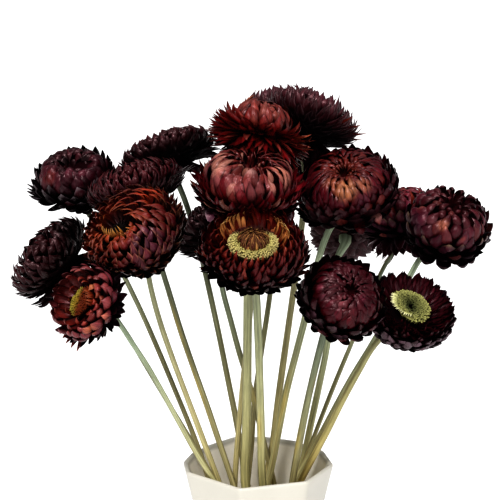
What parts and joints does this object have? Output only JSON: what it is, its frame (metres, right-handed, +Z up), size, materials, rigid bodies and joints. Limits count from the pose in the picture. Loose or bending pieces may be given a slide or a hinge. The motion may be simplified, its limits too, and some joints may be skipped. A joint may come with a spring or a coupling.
{
  "type": "dried flower bouquet in a vase",
  "caption": "Bouquet of dried dark red strawflower heads, a papery daisy, on olive stems standing in a faceted cream ceramic vase.",
  "frame": {"origin": "middle of the vase's foot, on the surface that it stands on", "axes": "+Z up; +X to the right and -Y towards the viewer when the bouquet is seen from its front"},
  "size_m": [0.229, 0.1832, 0.3316],
  "materials": {
    "ceramic": "satin",
    "stem_green": "matte",
    "stem_tan": "matte",
    "bract_dark": "satin",
    "bract_maroon": "satin",
    "bract_copper": "satin",
    "disc": "matte"
  },
  "bodies": {
    "root": {"vase": "ceramic", "stem_01": "stem_green", "stem_02": "stem_green", "stem_03": "stem_green", "stem_04": "stem_tan", "stem_05": "stem_green", "stem_06": "stem_tan", "stem_07": "stem_tan", "stem_08": "stem_tan", "stem_09": "stem_tan", "stem_10": "stem_tan", "stem_11": "stem_tan", "stem_12": "stem_tan", "stem_13": "stem_green", "stem_14": "stem_green", "stem_15": "stem_tan", "stem_16": "stem_green", "stem_17": "stem_green", "stem_18": "stem_green", "head_01": "bract_maroon", "head_02": "bract_dark", "head_03": "bract_maroon", "head_04": "bract_copper", "head_05": "bract_dark", "head_06": "bract_copper", "head_07": "bract_maroon", "head_08": "bract_dark", "head_09": "bract_copper", "head_10": "bract_copper", "head_11": "bract_copper", "head_12": "bract_maroon", "head_13": "bract_dark", "head_14": "bract_maroon", "head_15": "bract_dark", "head_16": "bract_dark", "head_17": "bract_dark", "head_18": "bract_dark", "disc_04": "disc", "disc_06": "disc", "disc_10": "disc", "disc_11": "disc", "disc_15": "disc"}
  },
  "joints": []
}
